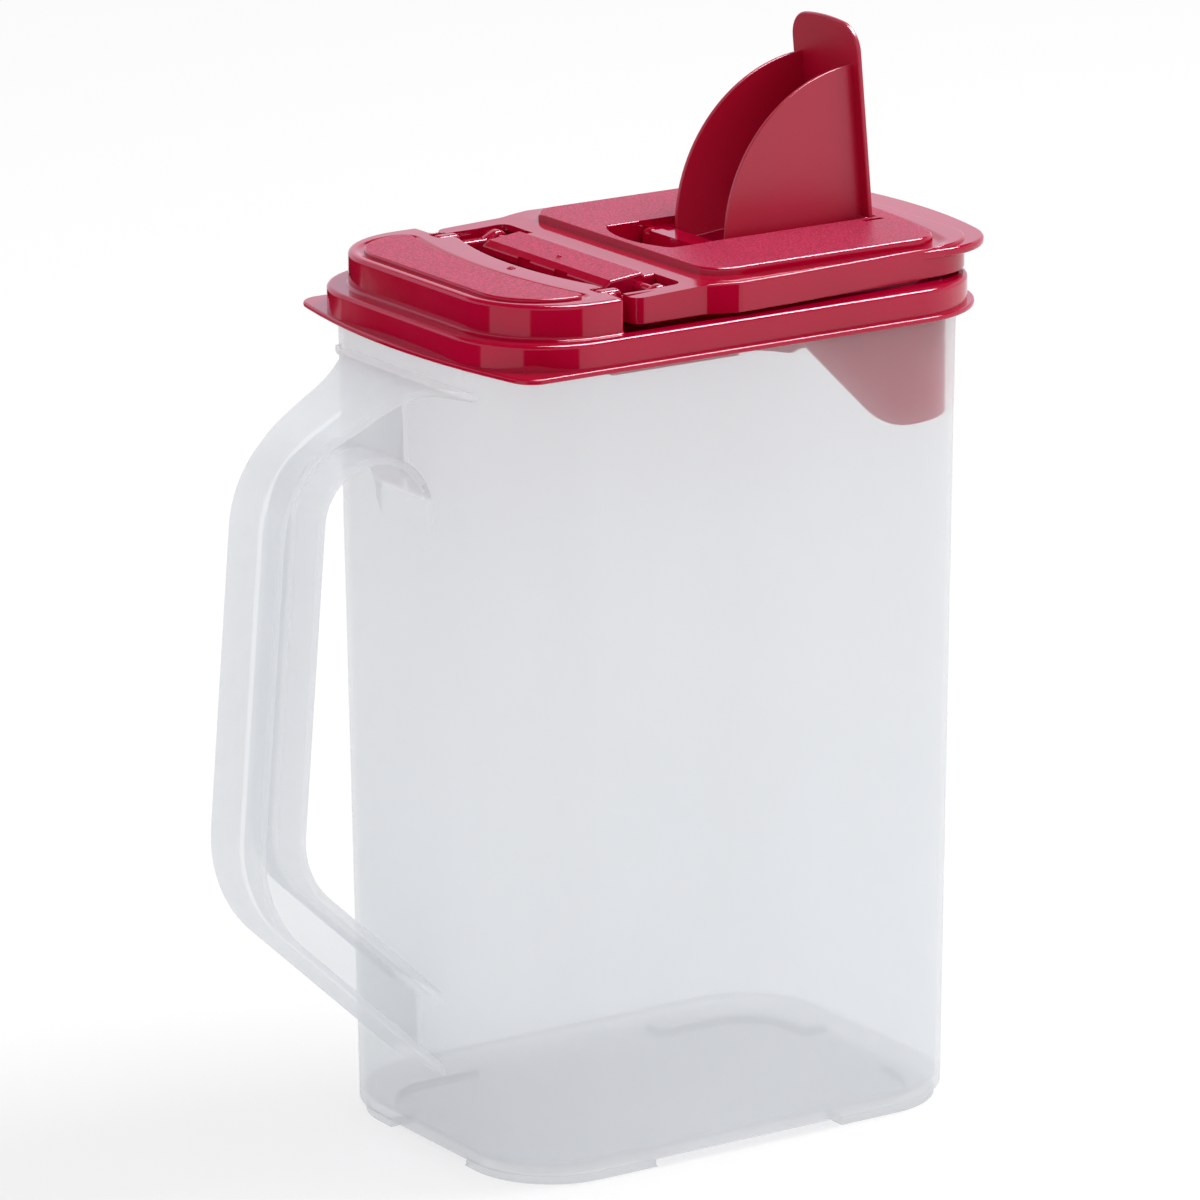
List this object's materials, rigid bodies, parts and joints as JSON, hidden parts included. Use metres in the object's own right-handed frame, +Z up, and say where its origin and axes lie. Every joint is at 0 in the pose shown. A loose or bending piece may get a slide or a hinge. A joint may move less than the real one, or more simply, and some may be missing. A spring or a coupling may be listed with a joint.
{
  "type": "cereal container",
  "caption": "Tall translucent food jug with a loop handle, a lift-off lid, a hinged pour flap with a thumb lever and a flip-up spout.",
  "frame": {"origin": "under the middle of the whole part's length and width, on the surface that its feet stand on", "axes": "+X towards the pouring end, the handle is at -X, +Z up"},
  "size_m": [0.2322, 0.1204, 0.3124],
  "materials": {
    "jug_plastic": "translucent natural polypropylene, smooth",
    "lid_plastic": "glossy crimson polypropylene, with fine-grained panels"
  },
  "bodies": {
    "jug": {"jug": "jug_plastic"},
    "lid": {"lid_base": "lid_plastic"},
    "flap": {"flap": "lid_plastic"},
    "spout": {"spout": "lid_plastic"}
  },
  "joints": [
    {"name": "lid_lift", "type": "slide", "parent": "jug", "child": "lid", "axis": [0, 0, 1], "range_m": [0, 0.06]},
    {"name": "flap_hinge", "type": "hinge", "parent": "lid", "child": "flap", "pos_m": [-0.00187, 0, 0.25], "axis": [0, -1, 0], "range_deg": [0, 100]},
    {"name": "spout_hinge", "type": "hinge", "parent": "flap", "child": "spout", "pos_m": [0.08613, 0, 0.2538], "axis": [0, -1, 0], "range_deg": [0, 85]}
  ]
}
